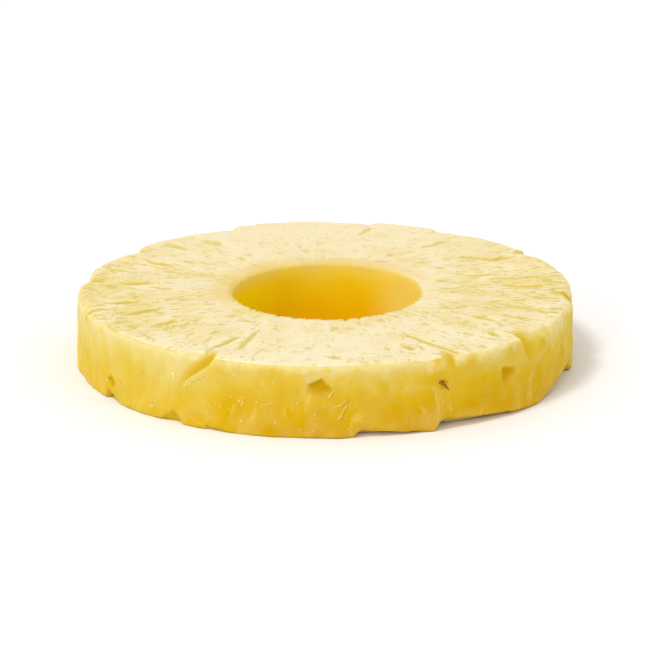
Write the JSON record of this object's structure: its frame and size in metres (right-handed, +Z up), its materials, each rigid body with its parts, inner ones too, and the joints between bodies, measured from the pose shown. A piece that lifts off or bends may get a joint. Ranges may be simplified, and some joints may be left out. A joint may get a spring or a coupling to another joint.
{
  "type": "pineapple ring",
  "caption": "Thick round slice of peeled pineapple with the core cut out, nicked along its edges where the eyes were, lying flat on a cut face.",
  "frame": {"origin": "centre of the ring's box, on the lower cut face", "axes": "+Z up through the core hole, +X to the right and -Y to the front as the ring is shown"},
  "size_m": [0.0842, 0.0842, 0.0127],
  "materials": {
    "flesh": "wet cut fruit flesh, pale on the cut face and golden on the wall and in the core hole"
  },
  "bodies": {
    "root": {"pineapple_ring": "flesh"}
  },
  "joints": []
}
